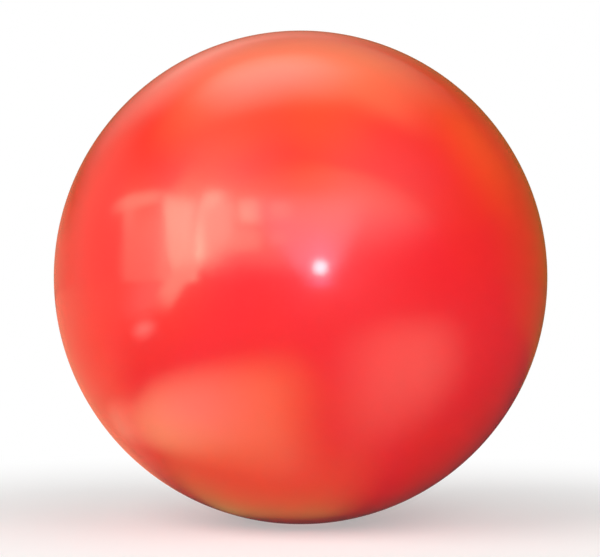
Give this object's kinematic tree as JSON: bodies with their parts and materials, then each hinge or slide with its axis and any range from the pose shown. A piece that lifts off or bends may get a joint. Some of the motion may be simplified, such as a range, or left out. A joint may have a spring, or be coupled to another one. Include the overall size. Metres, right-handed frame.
{
  "type": "rhythmic gymnastics ball",
  "caption": "Seamless hollow rubber ball with a smooth pearl surface, a flush needle valve and a pull-out stopper pin.",
  "frame": {"origin": "centre of the ball", "axes": "+Z along the valve's axis, out through the valve; X and Y square to it, with the stopper's nail notch towards +X"},
  "size_m": [0.185, 0.185, 0.185],
  "materials": {
    "pearl_skin": "gloss",
    "liner_rubber": "matte",
    "boss_rubber": "matte",
    "valve_rubber": "satin",
    "stopper_plastic": "gloss"
  },
  "bodies": {
    "ball": {"outer_skin": "pearl_skin", "inner_liner": "liner_rubber", "valve_boss": "boss_rubber", "valve_core": "valve_rubber"},
    "plug": {"stopper": "stopper_plastic"}
  },
  "joints": [
    {"name": "stopper_pull", "type": "slide", "parent": "ball", "child": "plug", "axis": [0, 0, 1], "range_m": [0, 0.018]}
  ]
}
